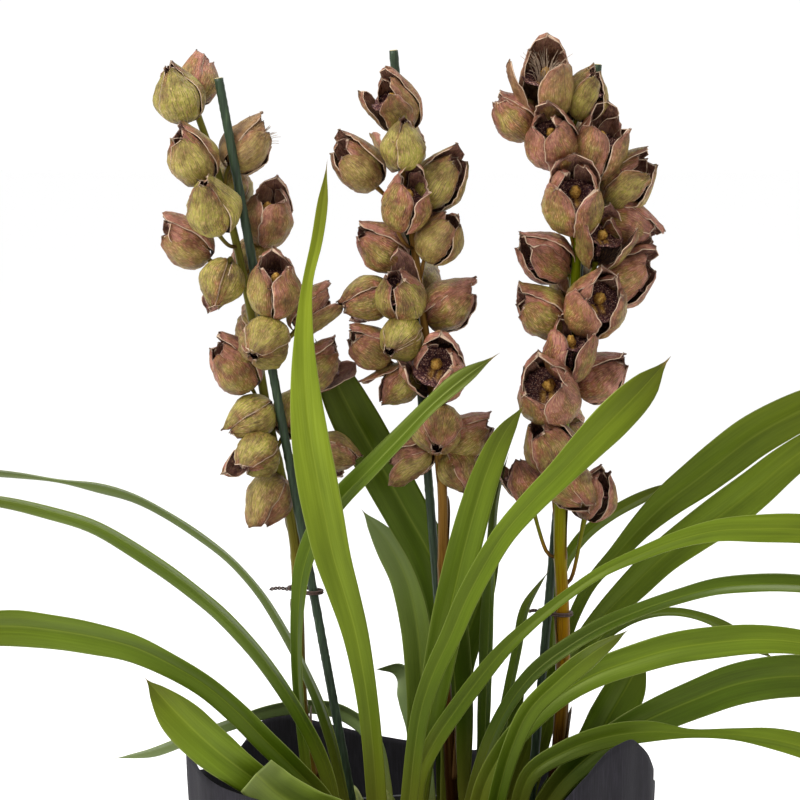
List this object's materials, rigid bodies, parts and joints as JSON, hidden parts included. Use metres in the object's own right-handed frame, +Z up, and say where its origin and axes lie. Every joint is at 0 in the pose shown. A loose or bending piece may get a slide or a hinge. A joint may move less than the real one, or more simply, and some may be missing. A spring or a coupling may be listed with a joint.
{
  "type": "potted orchid",
  "caption": "Cymbidium orchid with cup-shaped half-dried flowers on tied, staked spikes and long strap leaves, in a nursery pot inside a gathered charcoal paper wrap.",
  "frame": {"origin": "centre of the flat underside of the wrap's base, on the surface it stands on", "axes": "+X to the plant's right seen from the front, +Y to the back, +Z up"},
  "size_m": [0.7279, 0.344, 0.7383],
  "materials": {
    "charcoal_paper": "matt crepe paper, charcoal",
    "black_pot_plastic": "injection-moulded, black, matt",
    "bark_mix": "chipped bark, rough",
    "pseudobulb_green": null,
    "leaf_green": null,
    "dried_flower": "half-dried petals, papery",
    "stake_green": "plastic-coated stick, dark blue-green",
    "wire_brown": "paper-covered wire, brown"
  },
  "bodies": {
    "root": {"bark_mix": "bark_mix", "flower_spike_left": "dried_flower", "flower_spike_middle": "dried_flower", "flower_spike_right": "dried_flower", "leaf_01": "leaf_green", "leaf_02": "leaf_green", "leaf_03": "leaf_green", "leaf_04": "leaf_green", "leaf_05": "leaf_green", "leaf_06": "leaf_green", "leaf_07": "leaf_green", "leaf_08": "leaf_green", "leaf_09": "leaf_green", "leaf_10": "leaf_green", "leaf_11": "leaf_green", "leaf_12": "leaf_green", "leaf_13": "leaf_green", "leaf_14": "leaf_green", "leaf_15": "leaf_green", "leaf_16": "leaf_green", "leaf_17": "leaf_green", "leaf_18": "leaf_green", "leaf_19": "leaf_green", "leaf_20": "leaf_green", "leaf_21": "leaf_green", "leaf_22": "leaf_green", "leaf_23": "leaf_green", "leaf_24": "leaf_green", "leaf_25": "leaf_green", "leaf_26": "leaf_green", "leaf_27": "leaf_green", "leaf_28": "leaf_green", "leaf_29": "leaf_green", "nursery_pot": "black_pot_plastic", "paper_wrap": "charcoal_paper", "pseudobulb_1": "pseudobulb_green", "pseudobulb_2": "pseudobulb_green", "pseudobulb_3": "pseudobulb_green", "pseudobulb_4": "pseudobulb_green", "pseudobulb_5": "pseudobulb_green", "stake_left": "stake_green", "stake_middle": "stake_green", "stake_right": "stake_green", "wire_tie_left": "wire_brown", "wire_tie_right": "wire_brown"}
  },
  "joints": []
}
